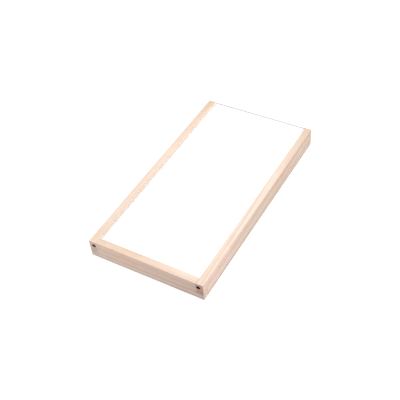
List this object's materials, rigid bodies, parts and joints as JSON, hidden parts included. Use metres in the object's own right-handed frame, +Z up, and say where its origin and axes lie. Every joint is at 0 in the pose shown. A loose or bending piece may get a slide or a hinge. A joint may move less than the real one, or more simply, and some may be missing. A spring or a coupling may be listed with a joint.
{
  "type": "screen printing frame",
  "caption": "Rectangular pine screen printing frame on edge, with finger-jointed rails and a stretched white mesh recessed below its upper rim.",
  "frame": {"origin": "middle of the footprint, on the surface that the frame lies on", "axes": "+Z up, out of the shallow side of the mesh; +Y along the frame from the near rail to the far rail; +X to the right seen from the near rail"},
  "size_m": [0.254, 0.48, 0.04],
  "materials": {
    "pine": "planed, unfinished",
    "mesh_fabric": "fine plain weave, matt",
    "retaining_cord": "braided, matt",
    "corner_screw": "black phosphate",
    "staple": "galvanised"
  },
  "bodies": {
    "root": {"side_rail_left": "pine", "side_rail_right": "pine", "near_rail": "pine", "far_rail": "pine", "screen_mesh": "mesh_fabric", "left_cord": "retaining_cord", "right_cord": "retaining_cord", "near_cord": "retaining_cord", "near_left_screw": "corner_screw", "near_right_screw": "corner_screw", "far_left_screw": "corner_screw", "far_right_screw": "corner_screw", "rear_staple_1": "staple", "rear_staple_2": "staple", "rear_staple_3": "staple", "rear_staple_4": "staple", "rear_staple_5": "staple", "rear_staple_6": "staple", "rear_staple_7": "staple", "rear_staple_8": "staple", "rear_staple_9": "staple"}
  },
  "joints": []
}
